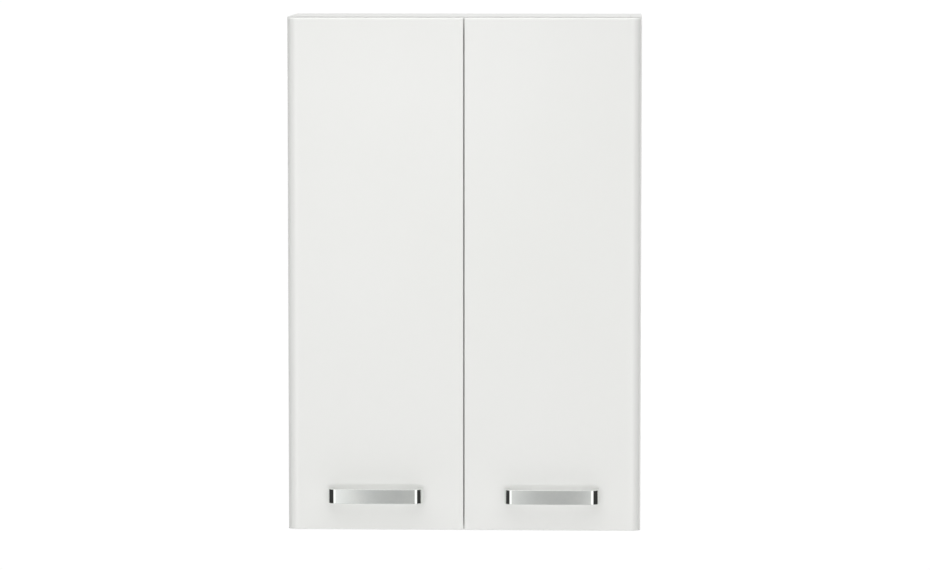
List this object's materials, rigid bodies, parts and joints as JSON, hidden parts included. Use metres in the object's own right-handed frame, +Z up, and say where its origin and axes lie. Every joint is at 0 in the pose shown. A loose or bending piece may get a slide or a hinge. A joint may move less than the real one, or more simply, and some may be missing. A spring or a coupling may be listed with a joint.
{
  "type": "hanging wall cabinet",
  "caption": "Tall shallow hanging wall cabinet with hinged gloss doors, bow handles, adjustable shelves and a wall rail.",
  "frame": {"origin": "centre of the wall rail's rear face, on the wall plane", "axes": "+Z up, -Y out of the wall through the doors, +X to the right as seen from the front"},
  "size_m": [0.5, 0.228, 0.728],
  "materials": {
    "door_gloss_white": "MDF board with a high-gloss white foil",
    "carcass_white": "particle board with satin white melamine",
    "back_white": "thin hardboard, white lacquered face",
    "chrome": "polished",
    "nickel_steel": "nickel plated",
    "zinc_steel": "zinc plated",
    "zinc_cast": "die-cast zinc alloy, matt",
    "plastic_white": "matt",
    "silicone_clear": "translucent silicone"
  },
  "bodies": {
    "carcass": {"back_panel": "back_white", "bottom_panel": "carcass_white", "cam_lock_bottom_left_front": "zinc_cast", "cam_lock_bottom_left_rear": "zinc_cast", "cam_lock_bottom_right_front": "zinc_cast", "cam_lock_bottom_right_rear": "zinc_cast", "cam_lock_top_left_front": "zinc_cast", "cam_lock_top_left_rear": "zinc_cast", "cam_lock_top_right_front": "zinc_cast", "cam_lock_top_right_rear": "zinc_cast", "hanger_cover_left": "plastic_white", "hanger_cover_right": "plastic_white", "hanger_left": "zinc_steel", "hanger_right": "zinc_steel", "hinge_arm_left_lower": "nickel_steel", "hinge_arm_left_upper": "nickel_steel", "hinge_arm_right_lower": "nickel_steel", "hinge_arm_right_upper": "nickel_steel", "hinge_plate_left_lower": "nickel_steel", "hinge_plate_left_upper": "nickel_steel", "hinge_plate_right_lower": "nickel_steel", "hinge_plate_right_upper": "nickel_steel", "hinge_screw_left_lower": "zinc_steel", "hinge_screw_left_upper": "zinc_steel", "hinge_screw_right_lower": "zinc_steel", "hinge_screw_right_upper": "zinc_steel", "lower_shelf": "carcass_white", "shelf_pin_lower_left_front": "nickel_steel", "shelf_pin_lower_left_rear": "nickel_steel", "shelf_pin_lower_right_front": "nickel_steel", "shelf_pin_lower_right_rear": "nickel_steel", "shelf_pin_upper_left_front": "nickel_steel", "shelf_pin_upper_left_rear": "nickel_steel", "shelf_pin_upper_right_front": "nickel_steel", "shelf_pin_upper_right_rear": "nickel_steel", "side_panel_left": "carcass_white", "side_panel_right": "carcass_white", "top_panel": "carcass_white", "upper_shelf": "carcass_white", "wall_rail": "zinc_steel"},
    "door_left_leaf": {"door_bumper_left_lower": "silicone_clear", "door_bumper_left_upper": "silicone_clear", "door_left": "door_gloss_white", "handle_left": "chrome", "handle_screw_left_inner": "zinc_steel", "handle_screw_left_outer": "zinc_steel", "hinge_cup_left_lower": "nickel_steel", "hinge_cup_left_upper": "nickel_steel", "hinge_pin_left_lower": "zinc_steel", "hinge_pin_left_upper": "zinc_steel"},
    "door_right_leaf": {"door_bumper_right_lower": "silicone_clear", "door_bumper_right_upper": "silicone_clear", "door_right": "door_gloss_white", "handle_right": "chrome", "handle_screw_right_inner": "zinc_steel", "handle_screw_right_outer": "zinc_steel", "hinge_cup_right_lower": "nickel_steel", "hinge_cup_right_upper": "nickel_steel", "hinge_pin_right_lower": "zinc_steel", "hinge_pin_right_upper": "zinc_steel"}
  },
  "joints": [
    {"name": "door_left_hinge", "type": "hinge", "parent": "carcass", "child": "door_left_leaf", "pos_m": [-0.2435, -0.1895, -0.322], "axis": [0, 0, -1], "range_deg": [0, 95]},
    {"name": "door_right_hinge", "type": "hinge", "parent": "carcass", "child": "door_right_leaf", "pos_m": [0.2435, -0.1895, -0.322], "axis": [0, 0, 1], "range_deg": [0, 95]}
  ]
}
